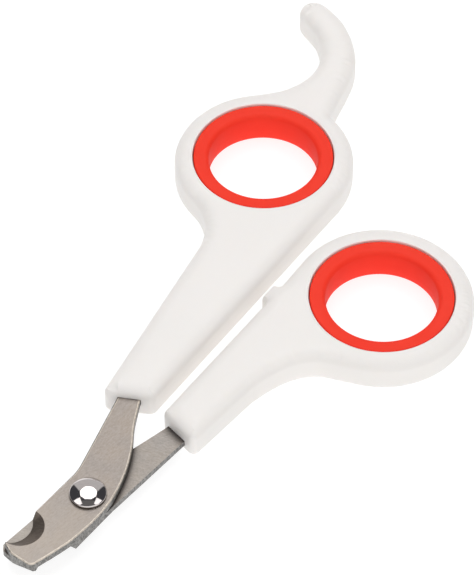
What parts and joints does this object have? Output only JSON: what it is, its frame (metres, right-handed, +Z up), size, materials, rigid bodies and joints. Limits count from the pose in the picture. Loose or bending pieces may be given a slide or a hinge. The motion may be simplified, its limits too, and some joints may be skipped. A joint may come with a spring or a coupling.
{
  "type": "scissor nail clipper",
  "caption": "Scissor-type claw clipper with notched steel blades on a domed pivot, lined finger rings, a curved finger tail and a stop nub.",
  "frame": {"origin": "middle of the footprint, on the surface that the clipper lies on, with the clipper nearly closed", "axes": "+X along the clipper from the blade tips to the tail, +Y towards the finger handle, +Z up out of the domed side"},
  "size_m": [0.1342, 0.0692, 0.0072],
  "materials": {
    "handle_plastic": "satin moulded, off-white",
    "grommet_rubber": "smooth soft moulding, red-orange",
    "blade_steel": "fine ground, satin stainless",
    "pivot_chrome": "polished"
  },
  "bodies": {
    "finger_lever": {"finger_handle": "handle_plastic", "finger_grommet": "grommet_rubber", "front_blade": "blade_steel", "pivot_barrel": "pivot_chrome", "pivot_washer": "pivot_chrome", "pivot_screw": "pivot_chrome"},
    "thumb_lever": {"thumb_handle": "handle_plastic", "thumb_grommet": "grommet_rubber", "back_blade": "blade_steel"}
  },
  "joints": [
    {"name": "blade_pivot", "type": "hinge", "parent": "finger_lever", "child": "thumb_lever", "pos_m": [-0.04993, -0.00254, 0.0036], "axis": [0, 0, -1], "range_deg": [-2.2, 36]}
  ]
}
